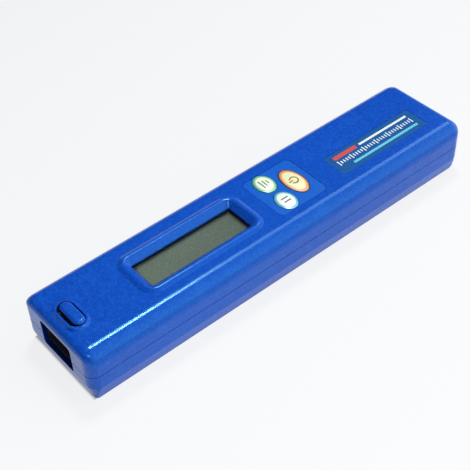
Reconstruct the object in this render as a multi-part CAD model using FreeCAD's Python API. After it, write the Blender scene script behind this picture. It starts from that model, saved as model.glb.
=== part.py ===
"""Stick-shaped hand-held thermometer for thermocouple probes, as an assembly of separate pieces.

Millimetres. The origin is the middle of the underside. +X runs along the stick from the probe
socket to the tail, +Y across it and +Z up out of the display face.
"""

import FreeCAD
import Part
import math
import os

# Housing
LENGTH = 171.2
WIDTH = 38.0
HEIGHT = 20.4
WALL = 1.8
CORNER_RADIUS = 3.8
TOP_EDGE_RADIUS = 2.6
KEEL_HEIGHT = 4.2
KEEL_INSET = 1.5
SPLIT_HEIGHT = 10.8
LIP_THICKNESS = 0.8
LIP_HEIGHT = 1.2
LIP_CLEARANCE = 0.15
SEAM_WIDTH = 0.25
SEAM_DEPTH = 0.3

# Display window and the raised rim around it
WINDOW_X = -30.0
WINDOW_LENGTH = 42.3
WINDOW_WIDTH = 12.2
WINDOW_CORNER = 0.6
WINDOW_SINK = 1.2
RIM_INNER_SLOPE = 2.2
RIM_CREST = 1.0
RIM_OUTER_SLOPE = 1.6
RIM_RISE = 0.8
RIM_CORNER = 3.2
RIM_EDGE_RADIUS = 1.2
LENS_BEARING = 1.9
LENS_THICKNESS = 1.0
LENS_FENCE = 0.9

# Keys and their panel
PANEL_X = 12.2
PANEL_SIDE = 22.0
PANEL_CORNER = 2.4
PANEL_DEPTH = 0.5
OVERLAY_THICKNESS = 0.4
OVERLAY_CLEARANCE = 0.12
POWER_KEY_AHEAD = 4.4
POWER_KEY_SIZE = (7.8, 14.0)
SMALL_KEYS_BEHIND = 4.5
SMALL_KEYS_ASIDE = 5.7
SMALL_KEY_SIZE = (7.4, 9.8)
KEY_CLEARANCE = 0.25
KEY_RIM_RISE = 0.15
KEY_CROWN = 0.45
KEY_FLANGE = 0.35
KEY_FLANGE_THICKNESS = 0.8
KEY_STEM_RADIUS = 1.5
DOME_RADIUS = 2.8
DOME_RISE = 0.8
DOME_THICKNESS = 0.15

# Name plate recess
LABEL_SETBACK = 31.5
LABEL_ASIDE = -4.1
LABEL_LENGTH = 44.0
LABEL_WIDTH = 11.5
LABEL_CORNER = 0.5
LABEL_DEPTH = 0.3
LABEL_THICKNESS = 0.22
LABEL_CLEARANCE = 0.1

# Probe socket
MOUTH_WIDTH = 17.0
MOUTH_HEIGHT = 11.0
MOUTH_CORNER = 1.4
SOCKET_HEIGHT = 11.3
PLUG_WELL_WIDTH = 16.6
PLUG_WELL_HEIGHT = 9.0
PLUG_WELL_DEPTH = 12.0
SOCKET_WALL = 1.0
SOCKET_LENGTH = 18.5
PIN_PITCH = 7.9
PIN_SLOT_WIDTHS = (2.8, 3.6)
PIN_SLOT_HEIGHT = 1.6
CONTACT_THICKNESS = 0.4
CONTACT_CLEARANCE = 0.15

# Plug release button
BUTTON_SETBACK = 7.7
BUTTON_LENGTH = 11.6
BUTTON_WIDTH = 4.6
BUTTON_CLEARANCE = 0.3
BUTTON_NOSE_GAP = 1.2
BUTTON_RISE = 1.5
BUTTON_EDGE = 1.4
COLLAR_RISE = 0.8
COLLAR_CREST = 0.8
COLLAR_SLOPE = 0.6
COLLAR_EDGE_RADIUS = 0.4
YOKE_THICKNESS = 0.8
YOKE_LEG_THICKNESS = 1.4
YOKE_DEPTH = 3.0
YOKE_HEAD_DEPTH = 8.4
YOKE_GAP = 0.7
CATCH_RISE = 0.7
CATCH_WIDTH = 4.0
CATCH_DEPTH = 2.0
FIT_GAP = 0.1
SPRING_WIDTH = 2.4
SPRING_LENGTH = 18.0
SPRING_THICKNESS = 0.25

# Circuit board and display
BOARD_THICKNESS = 1.6
BOARD_WIDTH = 21.6
BOARD_GAP = 1.3
BOARD_OVERRUN = 0.3
DISPLAY_FRAME_WALL = 1.9
DISPLAY_LIP = 0.6
GLASS_END_MARGIN = 1.85
GLASS_SIDE_MARGIN = 1.4
GLASS_PLY = 1.1
GLASS_STEP = 2.4
GLASS_CLEARANCE = 0.2
ZEBRA_WIDTH = 1.8
BLOB_PLACE = (-30.0, 0.0)
BLOB_RADIUS = 5.0
BLOB_RISE = 1.6
CRYSTAL = (-46.0, 4.5, 8.0, 3.2, 1.8)
CAPACITOR = (-8.0, -4.0, 2.0, 5.0)
CHIPS = ((-12.0, 4.5, 4.0, 3.0, 1.1), (6.0, -4.5, 4.0, 3.0, 1.1), (6.0, 4.5, 5.0, 4.0, 1.2),
         (-48.0, -4.5, 4.0, 3.0, 1.1), (-37.0, 7.8, 2.0, 1.2, 0.6), (-33.0, 7.8, 2.0, 1.2, 0.6),
         (-25.0, 7.8, 2.0, 1.2, 0.6), (-21.0, 7.8, 2.0, 1.2, 0.6))

# Fasteners
CASE_BOSS_RADIUS = 2.7
CASE_BOSS_GAP = 0.5
CASE_SCREW_SETBACK = 7.3
CASE_SCREW_RADIUS = 1.2
CASE_SCREW_HEAD_RADIUS = 2.2
CASE_SCREW_HEAD_HEIGHT = 1.6
CASE_SCREW_BITE = 5.0
SCREW_CLEARANCE = 0.3
COUNTERBORE_DEPTH = 3.0
BOARD_POST_RADIUS = 1.9
BOARD_POST_GAP = 2.4
BOARD_POST_EDGE = 0.8
BOARD_SCREW_RADIUS = 0.8
BOARD_SCREW_HEAD_RADIUS = 1.5
BOARD_SCREW_HEAD_HEIGHT = 1.0
BOARD_SCREW_BITE = 4.0
THREAD_CLEARANCE = 0.05

# Battery compartment
CELL_RADIUS = 5.25
CELL_BODY = 43.6
CELL_NUB = 0.9
CELL_NUB_RADIUS = 1.9
CELL_GAP = 0.7
CELL_EDGE = 0.5
CONTACT_SPACE = 1.8
TUB_WALL = 1.2
TUB_SIDE_GAP = 0.3
TUB_TAIL_GAP = 1.0
DOOR_THICKNESS = 2.0
DOOR_BEARING = 1.85
DOOR_LEAD = 3.0
DOOR_CLEARANCE = 0.25
RAIL_REACH = 0.8
RAIL_THICKNESS = 0.7
DOOR_FRAME_REACH = 2.6
GRIP_RIBS = 5
GRIP_PITCH = 2.2
GRIP_WIDTH = 12.0
GRIP_DEPTH = 0.5
STRIP_THICKNESS = 0.3
STRIP_WIDTH = 7.0
TAIL_STRIP_WIDTH = 3.0
TONGUE_WIDTH = 3.0

# Heights and places that follow from the sizes above
CEILING = HEIGHT - WALL
BOARD_TOP = SPLIT_HEIGHT + BOARD_THICKNESS
LENS_BOTTOM = CEILING - LENS_THICKNESS
WINDOW_EDGE = HEIGHT - WINDOW_SINK
OVERLAY_TOP = HEIGHT - PANEL_DEPTH + OVERLAY_THICKNESS
GLASS_TOP = LENS_BOTTOM - DISPLAY_LIP - FIT_GAP
GLASS_MIDDLE = GLASS_TOP - GLASS_PLY
GLASS_BOTTOM = GLASS_MIDDLE - GLASS_PLY
NOSE = -LENGTH / 2
TAIL = LENGTH / 2
SOCKET_FRONT = NOSE + WALL
SOCKET_BACK = SOCKET_FRONT + SOCKET_LENGTH
SOCKET_BOTTOM = SOCKET_HEIGHT - PLUG_WELL_HEIGHT / 2 - SOCKET_WALL
SOCKET_TOP = SOCKET_HEIGHT + PLUG_WELL_HEIGHT / 2 + SOCKET_WALL
SOCKET_HALF_WIDTH = PLUG_WELL_WIDTH / 2 + SOCKET_WALL
CONTACT_Z = SOCKET_HEIGHT + PIN_SLOT_HEIGHT / 2
BUTTON_X = NOSE + BUTTON_SETBACK
LABEL_PLACE = (TAIL - LABEL_SETBACK, LABEL_ASIDE)
POWER_KEY_PLACE = (PANEL_X + POWER_KEY_AHEAD, 0.0)
MODE_KEY_PLACE = (PANEL_X - SMALL_KEYS_BEHIND, SMALL_KEYS_ASIDE)
HOLD_KEY_PLACE = (PANEL_X - SMALL_KEYS_BEHIND, -SMALL_KEYS_ASIDE)
BOARD_START = SOCKET_BACK + BOARD_GAP
BOARD_END = PANEL_X + PANEL_SIDE / 2 + BOARD_OVERRUN
GLASS_LENGTH = WINDOW_LENGTH + 2 * GLASS_END_MARGIN
GLASS_WIDTH = WINDOW_WIDTH + 2 * GLASS_SIDE_MARGIN
FRAME_LENGTH = GLASS_LENGTH + 2 * (GLASS_CLEARANCE + DISPLAY_FRAME_WALL)
FRAME_WIDTH = GLASS_WIDTH + 2 * (GLASS_CLEARANCE + DISPLAY_FRAME_WALL)
BOARD_POST_REACH = FRAME_LENGTH / 2 + BOARD_POST_GAP + BOARD_POST_RADIUS
BOARD_POST_Y = BOARD_WIDTH / 2 - BOARD_POST_EDGE - BOARD_POST_RADIUS
CELL_LENGTH = CELL_BODY + CELL_NUB
CELL_PITCH = 2 * CELL_RADIUS + CELL_GAP
CELL_HEIGHT = DOOR_THICKNESS + TUB_SIDE_GAP + CELL_RADIUS
TUB_END = TAIL - WALL - TUB_TAIL_GAP - TUB_WALL
TUB_START = TUB_END - CELL_LENGTH - 2 * CONTACT_SPACE
TUB_HALF_WIDTH = CELL_PITCH / 2 + CELL_RADIUS + TUB_SIDE_GAP
TUB_CEILING = CELL_HEIGHT + CELL_RADIUS + TUB_SIDE_GAP
DOOR_START = TUB_START - DOOR_LEAD
DOOR_WIDTH = 2 * (TUB_HALF_WIDTH + DOOR_BEARING)
CASE_SCREW_X = (SOCKET_BACK + CASE_SCREW_SETBACK,
                DOOR_START - DOOR_FRAME_REACH - CASE_BOSS_RADIUS - CASE_BOSS_GAP)
CASE_SCREW_Y = WIDTH / 2 - WALL - CASE_BOSS_RADIUS - CASE_BOSS_GAP
RAIL_BOTTOM = (DOOR_THICKNESS - RAIL_THICKNESS) / 2
EPS = 0.01


def point(x, y, z):
    return FreeCAD.Vector(x, y, z)


def box(x0, x1, y0, y1, z0, z1):
    return Part.makeBox(x1 - x0, y1 - y0, z1 - z0, point(x0, y0, z0))


def cylinder(x, y, z0, z1, radius):
    return Part.makeCylinder(radius, z1 - z0, point(x, y, z0))


def joined(first, *others):
    """One shape of all the pieces, with no leftover seams."""
    return first.fuse(list(others)).removeSplitter()


def arc(centre, radius, start_deg):
    """A quarter turn about +Z, from start_deg on."""
    ends = [math.radians(start_deg + a) for a in (0, 45, 90)]
    points = [centre + point(radius * math.cos(a), radius * math.sin(a), 0) for a in ends]
    return Part.Arc(*points).toShape(), points[0], points[2]


def round_rectangle(x, y, z, length, width, radius):
    """A closed wire with four straight sides and four rounded corners."""
    dx, dy = length / 2 - radius, width / 2 - radius
    corners = [(dx, dy, 0), (-dx, dy, 90), (-dx, -dy, 180), (dx, -dy, 270)]
    arcs = [arc(point(x + cx, y + cy, z), radius, a) for cx, cy, a in corners]
    edges = []
    for i, (edge, _, end) in enumerate(arcs):
        edges += [edge, Part.LineSegment(end, arcs[(i + 1) % 4][1]).toShape()]
    return Part.Wire(edges)


def pill(x, y, z, length, width):
    """A closed wire, long along Y, with half-round ends."""
    radius, straight = width / 2, (length - width) / 2
    right, left = x + radius, x - radius
    return Part.Wire([
        Part.LineSegment(point(right, y - straight, z), point(right, y + straight, z)).toShape(),
        Part.Arc(point(right, y + straight, z), point(x, y + straight + radius, z),
                 point(left, y + straight, z)).toShape(),
        Part.LineSegment(point(left, y + straight, z), point(left, y - straight, z)).toShape(),
        Part.Arc(point(left, y - straight, z), point(x, y - straight - radius, z),
                 point(right, y - straight, z)).toShape(),
    ])


def raised(wire, height):
    """The solid between a flat wire and its copy moved up by height."""
    return Part.Face(wire).extrude(point(0, 0, height))


def tapered(low_wire, high_wire):
    """The solid with straight walls between two like wires."""
    return Part.makeLoft([low_wire, high_wire], True, True)


def block(x, y, length, width, radius, z0, z1):
    return raised(round_rectangle(x, y, z0, length, width, radius), z1 - z0)


def slab(x, y, length, width, z0, z1):
    """A plain block centred on x, y."""
    return box(x - length / 2, x + length / 2, y - width / 2, y + width / 2, z0, z1)


def ring(inset_out, inset_in, z0, z1):
    """A band that follows the housing's plan, between two insets from its outside."""
    outer = block(0, 0, LENGTH - 2 * inset_out, WIDTH - 2 * inset_out,
                  CORNER_RADIUS - inset_out, z0, z1)
    inner = block(0, 0, LENGTH - 2 * inset_in, WIDTH - 2 * inset_in,
                  CORNER_RADIUS - inset_in, z0 - 1, z1 + 1)
    return outer.cut(inner)


def ellipse_block(place, size, z0, z1, grow=0.0):
    """An upright elliptic prism. size is its full width along X and along Y."""
    a, b = size[0] / 2 + grow, size[1] / 2 + grow
    flat = Part.Ellipse(point(place[0], place[1], z0), max(a, b), min(a, b)).toShape()
    if b > a:
        flat.rotate(point(place[0], place[1], z0), point(0, 0, 1), 90)
    return raised(Part.Wire(flat), z1 - z0)


def housing_body(inset):
    """The whole stick, drawn in by inset: keel chamfers below, rounded top edge and corners."""
    half, low, high = WIDTH / 2 - inset, inset, HEIGHT - inset
    section = [(KEEL_INSET - half, low), (half - KEEL_INSET, low), (half, low + KEEL_HEIGHT),
               (half, high), (-half, high), (-half, low + KEEL_HEIGHT)]
    corners = [point(NOSE + inset, y, z) for y, z in section]
    bar = Part.Face(Part.makePolygon(corners + corners[:1])).extrude(point(LENGTH - 2 * inset, 0, 0))
    plan = block(0, 0, LENGTH - 2 * inset, WIDTH - 2 * inset, CORNER_RADIUS - inset, low, high)
    body = bar.common(plan)
    top_edges = [e for e in body.Edges if e.BoundBox.ZMin > high - EPS]
    return body.makeFillet(TOP_EDGE_RADIUS - inset, top_edges)


def mouth_cutter():
    """The opening in the nose for the probe's plug, halved by the split between the cases."""
    deep = 3 * WALL
    wire = round_rectangle(0, 0, 0, MOUTH_HEIGHT, MOUTH_WIDTH, MOUTH_CORNER)
    cutter = raised(wire, deep)
    cutter.rotate(point(0, 0, 0), point(0, 1, 0), 90)
    cutter.translate(point(NOSE - WALL, 0, SOCKET_HEIGHT))
    return cutter.common(box(NOSE - WALL, NOSE + WALL, -WIDTH, WIDTH, 0, HEIGHT))


def case_screw_places():
    return [(x, side * CASE_SCREW_Y) for x in CASE_SCREW_X for side in (1, -1)]


def board_screw_places():
    return [(WINDOW_X + end * BOARD_POST_REACH, side * BOARD_POST_Y)
            for end in (-1, 1) for side in (1, -1)]


def key_list():
    return {
        "power_key": (POWER_KEY_PLACE, POWER_KEY_SIZE),
        "mode_key": (MODE_KEY_PLACE, SMALL_KEY_SIZE),
        "hold_key": (HOLD_KEY_PLACE, SMALL_KEY_SIZE),
    }


def display_rim():
    """The raised rim round the window, and the funnel that drops from its crest to the window."""
    crest_length = WINDOW_LENGTH + 2 * RIM_INNER_SLOPE
    crest_width = WINDOW_WIDTH + 2 * RIM_INNER_SLOPE
    grow = 2 * RIM_CREST
    spread = grow + 2 * RIM_OUTER_SLOPE
    crest = HEIGHT + RIM_RISE
    mound = tapered(
        round_rectangle(WINDOW_X, 0, HEIGHT, crest_length + spread, crest_width + spread,
                        RIM_CORNER + RIM_CREST + RIM_OUTER_SLOPE),
        round_rectangle(WINDOW_X, 0, crest, crest_length + grow, crest_width + grow,
                        RIM_CORNER + RIM_CREST))
    base = raised(round_rectangle(WINDOW_X, 0, HEIGHT - WALL, crest_length + spread,
                                  crest_width + spread, RIM_CORNER + RIM_CREST + RIM_OUTER_SLOPE),
                  WALL)
    funnel = tapered(
        round_rectangle(WINDOW_X, 0, WINDOW_EDGE, WINDOW_LENGTH, WINDOW_WIDTH, WINDOW_CORNER),
        round_rectangle(WINDOW_X, 0, crest, crest_length, crest_width, RIM_CORNER))
    solid = joined(mound, base).cut(funnel)
    crest_edges = [e for e in solid.Edges if e.BoundBox.ZMin > crest - EPS]
    solid = solid.makeFillet(RIM_EDGE_RADIUS, crest_edges)
    hole = block(WINDOW_X, 0, WINDOW_LENGTH, WINDOW_WIDTH, WINDOW_CORNER, CEILING - 1, WINDOW_EDGE + EPS)
    return solid.cut(hole), funnel.fuse(hole)


def button_collar():
    """The raised ring round the release button, and the slot through it."""
    hole_length = BUTTON_LENGTH + 2 * BUTTON_CLEARANCE
    hole_width = BUTTON_WIDTH + BUTTON_CLEARANCE + BUTTON_NOSE_GAP
    x = BUTTON_X + BUTTON_WIDTH / 2 + BUTTON_CLEARANCE - hole_width / 2
    crest = 2 * COLLAR_CREST
    foot = crest + 2 * COLLAR_SLOPE
    top = HEIGHT + COLLAR_RISE
    mound = tapered(pill(x, 0, HEIGHT - EPS, hole_length + foot, hole_width + foot),
                    pill(x, 0, top, hole_length + crest, hole_width + crest))
    mound = mound.makeFillet(COLLAR_EDGE_RADIUS, [e for e in mound.Edges if e.BoundBox.ZMin > top - EPS])
    slot = raised(pill(x, 0, CEILING - WALL, hole_length, hole_width), 4 * WALL)
    return mound, slot


def make_top_case():
    """Upper shell: display rim, key panel, name plate recess, button collar, bosses and posts."""
    upper = box(-LENGTH, LENGTH, -WIDTH, WIDTH, SPLIT_HEIGHT, 2 * HEIGHT)
    shell = housing_body(0).common(upper).cut(housing_body(WALL))
    rim, window = display_rim()
    collar, slot = button_collar()
    fence = block(WINDOW_X, 0, lens_length() + 2 * (LENS_FENCE + FIT_GAP),
                  lens_width() + 2 * (LENS_FENCE + FIT_GAP), 1.0, LENS_BOTTOM, CEILING + EPS)
    fence = fence.cut(block(WINDOW_X, 0, lens_length() + 2 * FIT_GAP, lens_width() + 2 * FIT_GAP,
                            0.5, LENS_BOTTOM - 1, CEILING + 1))
    bosses = [cylinder(x, y, SPLIT_HEIGHT, CEILING + EPS, CASE_BOSS_RADIUS)
              for x, y in case_screw_places()]
    posts = [cylinder(x, y, BOARD_TOP, CEILING + EPS, BOARD_POST_RADIUS)
             for x, y in board_screw_places()]
    shell = joined(shell.cut(window), rim, collar, fence, *bosses, *posts)
    cuts = [slot, mouth_cutter()]
    cuts.append(ring(WALL - LIP_THICKNESS - LIP_CLEARANCE, WALL + EPS, SPLIT_HEIGHT - 1,
                     SPLIT_HEIGHT + LIP_HEIGHT + LIP_CLEARANCE))
    cuts.append(block(PANEL_X, 0, PANEL_SIDE, PANEL_SIDE, PANEL_CORNER, HEIGHT - PANEL_DEPTH, HEIGHT + 1))
    cuts.append(block(*LABEL_PLACE, LABEL_LENGTH, LABEL_WIDTH, LABEL_CORNER, HEIGHT - LABEL_DEPTH,
                      HEIGHT + 1))
    cuts += [ellipse_block(place, size, CEILING - 1, HEIGHT, KEY_CLEARANCE)
             for place, size in key_list().values()]
    cuts += [cylinder(x, y, SPLIT_HEIGHT - 1, SPLIT_HEIGHT + CASE_SCREW_BITE + 1,
                      CASE_SCREW_RADIUS + THREAD_CLEARANCE) for x, y in case_screw_places()]
    cuts += [cylinder(x, y, BOARD_TOP - 1, BOARD_TOP + BOARD_SCREW_BITE + 0.5,
                      BOARD_SCREW_RADIUS + THREAD_CLEARANCE) for x, y in board_screw_places()]
    return shell.cut(cuts)


def lens_length():
    return WINDOW_LENGTH + 2 * LENS_BEARING


def lens_width():
    return WINDOW_WIDTH + 2 * LENS_BEARING


def door_half_width(grow=0.0):
    return DOOR_WIDTH / 2 + grow


def make_bottom_case():
    """Lower shell: battery tub open below, rails for its door, screw bosses and socket cradle."""
    lower = box(-LENGTH, LENGTH, -WIDTH, WIDTH, -1, SPLIT_HEIGHT)
    outside = housing_body(0)
    shell = outside.common(lower).cut(housing_body(WALL))
    lip = ring(WALL - LIP_THICKNESS, WALL, SPLIT_HEIGHT - 2, SPLIT_HEIGHT + LIP_HEIGHT)
    lip = lip.cut(mouth_cutter())
    tub = box(TUB_START - TUB_WALL, TUB_END + TUB_WALL, -TUB_HALF_WIDTH - TUB_WALL,
              TUB_HALF_WIDTH + TUB_WALL, EPS, TUB_CEILING + TUB_WALL)
    frame_half = door_half_width(DOOR_FRAME_REACH)
    frame = box(DOOR_START - DOOR_FRAME_REACH, TAIL, -frame_half, frame_half, 0,
                DOOR_THICKNESS + WALL).common(outside)
    bosses = [cylinder(x, y, EPS, SPLIT_HEIGHT, CASE_BOSS_RADIUS + SCREW_CLEARANCE)
              for x, y in case_screw_places()]
    bosses = [boss.common(outside) for boss in bosses]
    cradle = [box(x, x + WALL, -SOCKET_HALF_WIDTH, SOCKET_HALF_WIDTH, WALL - EPS, SOCKET_BOTTOM)
              for x in (SOCKET_FRONT + WALL / 2, SOCKET_BACK - 1.5 * WALL)]
    shell = joined(shell, lip, tub, frame, *bosses, *cradle)

    hollow = box(TUB_START, TUB_END, -TUB_HALF_WIDTH, TUB_HALF_WIDTH, -1, TUB_CEILING)
    slide_half = door_half_width(DOOR_CLEARANCE)
    doorway = box(DOOR_START - DOOR_CLEARANCE, TAIL + 1, -slide_half, slide_half, -1,
                  DOOR_THICKNESS + FIT_GAP)
    groove_half = door_half_width(RAIL_REACH + DOOR_CLEARANCE)
    groove = box(DOOR_START - DOOR_CLEARANCE, TAIL + 1, -groove_half, groove_half,
                 RAIL_BOTTOM - FIT_GAP, RAIL_BOTTOM + RAIL_THICKNESS + FIT_GAP)
    tail_slots = [box(TUB_START - 2 * TUB_WALL, TUB_START + EPS, y - TAIL_STRIP_WIDTH / 2 - FIT_GAP,
                      y + TAIL_STRIP_WIDTH / 2 + FIT_GAP, BOARD_TOP - FIT_GAP, TUB_CEILING)
                  for y in (CELL_PITCH / 2, -CELL_PITCH / 2)]
    seam = ring(-1, SEAM_DEPTH, SPLIT_HEIGHT - SEAM_WIDTH, SPLIT_HEIGHT + EPS)
    cuts = [hollow, doorway, groove, seam, mouth_cutter(), *tail_slots]
    for x, y in case_screw_places():
        cuts.append(cylinder(x, y, -1, SPLIT_HEIGHT + 1, CASE_SCREW_RADIUS + SCREW_CLEARANCE))
        cuts.append(cylinder(x, y, -1, COUNTERBORE_DEPTH, CASE_SCREW_HEAD_RADIUS + SCREW_CLEARANCE))
    return shell.cut(cuts)


def make_battery_door():
    """Flat cover that slides off past the tail on two side rails, with a ribbed thumb patch."""
    half = door_half_width()
    plate = box(DOOR_START, TAIL, -half, half, 0, DOOR_THICKNESS)
    rails = box(DOOR_START, TAIL - CORNER_RADIUS / 2, -half - RAIL_REACH, half + RAIL_REACH,
                RAIL_BOTTOM, RAIL_BOTTOM + RAIL_THICKNESS)
    door = joined(plate, rails)
    first = DOOR_START + DOOR_LEAD
    grooves = [box(first + i * GRIP_PITCH, first + (i + 0.5) * GRIP_PITCH, -GRIP_WIDTH / 2,
                   GRIP_WIDTH / 2, -1, GRIP_DEPTH) for i in range(GRIP_RIBS)]
    return door.cut(grooves)


def make_window_lens():
    return block(WINDOW_X, 0, lens_length(), lens_width(), 0.5, LENS_BOTTOM, CEILING)


def make_display_frame():
    """Black frame that stands on the board and holds the display glass up under the lens."""
    inner_length = GLASS_LENGTH + 2 * GLASS_CLEARANCE
    inner_width = GLASS_WIDTH + 2 * GLASS_CLEARANCE
    frame = block(WINDOW_X, 0, FRAME_LENGTH, FRAME_WIDTH, 1.0, BOARD_TOP, LENS_BOTTOM)
    pocket = block(WINDOW_X, 0, inner_length, inner_width, 0.3, BOARD_TOP - 1, GLASS_TOP + FIT_GAP)
    view = block(WINDOW_X, 0, WINDOW_LENGTH, WINDOW_WIDTH, 0.3, BOARD_TOP, LENS_BOTTOM + 1)
    return frame.cut([pocket, view])


def make_display_glass():
    """Two plies of glass, the lower one narrower so that the upper one's contacts are bare."""
    upper = slab(WINDOW_X, 0, GLASS_LENGTH, GLASS_WIDTH, GLASS_MIDDLE, GLASS_TOP)
    lower = slab(WINDOW_X, 0, GLASS_LENGTH, GLASS_WIDTH - 2 * GLASS_STEP, GLASS_BOTTOM, GLASS_MIDDLE)
    return joined(upper, lower)


def make_display_reflector():
    return slab(WINDOW_X, 0, GLASS_LENGTH - 1, GLASS_WIDTH - 2 * GLASS_STEP - 1, BOARD_TOP, GLASS_BOTTOM)


def make_zebra_strips():
    """Two rubber contact strips that stand between the board and the glass's bare ledges."""
    y = GLASS_WIDTH / 2 - GLASS_STEP / 2
    return Part.Compound([slab(WINDOW_X, side * y, GLASS_LENGTH, ZEBRA_WIDTH, BOARD_TOP, GLASS_MIDDLE)
                          for side in (1, -1)])


def make_main_board():
    board = box(BOARD_START, BOARD_END, -BOARD_WIDTH / 2, BOARD_WIDTH / 2, SPLIT_HEIGHT, BOARD_TOP)
    holes = [cylinder(x, y, SPLIT_HEIGHT - 1, BOARD_TOP + 1, BOARD_SCREW_RADIUS + SCREW_CLEARANCE)
             for x, y in board_screw_places()]
    return board.cut(holes)


def make_board_parts():
    """Sealed chip, crystal can, capacitor and small chips on the board's underside."""
    low = SPLIT_HEIGHT
    x, y = BLOB_PLACE
    radius = (BLOB_RADIUS ** 2 + BLOB_RISE ** 2) / (2 * BLOB_RISE)
    below = cylinder(x, y, low - 2 * BLOB_RISE, low, 2 * BLOB_RADIUS)
    blob = Part.makeSphere(radius, point(x, y, low - BLOB_RISE + radius)).common(below)
    x, y, length, width, height = CRYSTAL
    crystal = block(x, y, length, width, 0.45 * width, low - height, low)
    x, y, radius, height = CAPACITOR
    capacitor = cylinder(x, y, low - height, low, radius)
    chips = [slab(x, y, length, width, low - height, low) for x, y, length, width, height in CHIPS]
    return Part.Compound([blob, crystal, capacitor, *chips])


def make_key_overlay():
    """Thin blue membrane in the panel's recess, with a hole for each key."""
    sheet = block(PANEL_X, 0, PANEL_SIDE - 2 * OVERLAY_CLEARANCE, PANEL_SIDE - 2 * OVERLAY_CLEARANCE,
                  PANEL_CORNER - OVERLAY_CLEARANCE, HEIGHT - PANEL_DEPTH, OVERLAY_TOP)
    return sheet.cut([ellipse_block(place, size, 0, 2 * HEIGHT, KEY_CLEARANCE)
                      for place, size in key_list().values()])


def crowned_cap(place, size):
    """Elliptic cap whose top swells from its rim to a crown in the middle."""
    a, b = size[0] / 2, size[1] / 2
    rim = OVERLAY_TOP + KEY_RIM_RISE
    sphere_radius = (a * a + KEY_CROWN * KEY_CROWN) / (2 * KEY_CROWN)
    base = CEILING - FIT_GAP - KEY_FLANGE_THICKNESS
    cap = cylinder(0, 0, base, rim + KEY_CROWN, a).common(
        Part.makeSphere(sphere_radius, point(0, 0, rim + KEY_CROWN - sphere_radius)))
    stretch = FreeCAD.Matrix()
    stretch.scale(1, b / a, 1)
    cap = cap.transformGeometry(stretch)
    cap.translate(point(place[0], place[1], 0))
    return cap


def make_key(place, size):
    """Key cap with a flange under the case wall and a stem down to its dome."""
    flange_top = CEILING - FIT_GAP
    flange = ellipse_block(place, size, flange_top - KEY_FLANGE_THICKNESS, flange_top,
                           KEY_CLEARANCE + KEY_FLANGE)
    stem = cylinder(*place, BOARD_TOP + DOME_RISE + FIT_GAP, flange_top, KEY_STEM_RADIUS)
    return joined(crowned_cap(place, size), flange, stem)


def make_key_dome(place):
    """Springy metal dome that the key's stem snaps down onto the board."""
    radius = (DOME_RADIUS ** 2 + DOME_RISE ** 2) / (2 * DOME_RISE)
    centre = point(place[0], place[1], BOARD_TOP + DOME_RISE - radius)
    shell = Part.makeSphere(radius, centre).cut(Part.makeSphere(radius - DOME_THICKNESS, centre))
    return shell.common(cylinder(*place, BOARD_TOP, BOARD_TOP + 2 * DOME_RISE, 2 * DOME_RADIUS))


def make_name_plate():
    return block(*LABEL_PLACE, LABEL_LENGTH - 2 * LABEL_CLEARANCE, LABEL_WIDTH - 2 * LABEL_CLEARANCE,
                 LABEL_CORNER - LABEL_CLEARANCE, HEIGHT - LABEL_DEPTH,
                 HEIGHT - LABEL_DEPTH + LABEL_THICKNESS)


def pin_places():
    """Middle of each contact slot across the socket, with its width."""
    return [(PIN_PITCH / 2, PIN_SLOT_WIDTHS[0]), (-PIN_PITCH / 2, PIN_SLOT_WIDTHS[1])]


def catch_slot():
    half_width, half_depth = CATCH_WIDTH / 2 + BUTTON_CLEARANCE, CATCH_DEPTH / 2 + BUTTON_CLEARANCE
    return box(BUTTON_X - half_depth, BUTTON_X + half_depth, -half_width, half_width,
               SOCKET_BOTTOM - 1, SOCKET_HEIGHT)


def make_probe_socket():
    """Black socket: a well for the plug's body, and two slots in its back for the plug's blades."""
    body = box(SOCKET_FRONT, SOCKET_BACK, -SOCKET_HALF_WIDTH, SOCKET_HALF_WIDTH, SOCKET_BOTTOM, SOCKET_TOP)
    well = box(SOCKET_FRONT - 1, SOCKET_FRONT + PLUG_WELL_DEPTH, -PLUG_WELL_WIDTH / 2,
               PLUG_WELL_WIDTH / 2, SOCKET_HEIGHT - PLUG_WELL_HEIGHT / 2,
               SOCKET_HEIGHT + PLUG_WELL_HEIGHT / 2)
    slots = [box(SOCKET_FRONT, SOCKET_BACK + 1, y - width / 2, y + width / 2,
                 SOCKET_HEIGHT - PIN_SLOT_HEIGHT / 2,
                 CONTACT_Z + CONTACT_THICKNESS + CONTACT_CLEARANCE) for y, width in pin_places()]
    return body.cut([well, catch_slot(), *slots])


def make_socket_contacts():
    """Two flat contact strips that run from the socket's slots onto the board."""
    strips = []
    for y, width in pin_places():
        half = width / 2 - CONTACT_CLEARANCE
        front = SOCKET_FRONT + PLUG_WELL_DEPTH + 0.5
        strip = box(front, SOCKET_BACK + 1, y - half, y + half, CONTACT_Z, CONTACT_Z + CONTACT_THICKNESS)
        step_x = SOCKET_BACK + 0.6
        low, high = sorted((BOARD_TOP, CONTACT_Z))
        step = box(step_x, step_x + CONTACT_THICKNESS, y - half, y + half, low, high + CONTACT_THICKNESS)
        tail = box(step_x, BOARD_START + 3, y - half, y + half, BOARD_TOP, BOARD_TOP + CONTACT_THICKNESS)
        strips.append(joined(strip, step, tail))
    return Part.Compound(strips)


def yoke_bar_top():
    return SOCKET_BOTTOM - BUTTON_CLEARANCE - YOKE_GAP


def make_release_button():
    """Pill-shaped cap with a crowned top, standing on the yoke."""
    foot = CEILING - FIT_GAP
    top = HEIGHT + BUTTON_RISE
    cap = raised(pill(BUTTON_X, 0, foot, BUTTON_LENGTH, BUTTON_WIDTH), top - foot)
    return cap.makeFillet(BUTTON_EDGE, [e for e in cap.Edges if e.BoundBox.ZMin > top - EPS])


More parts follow.
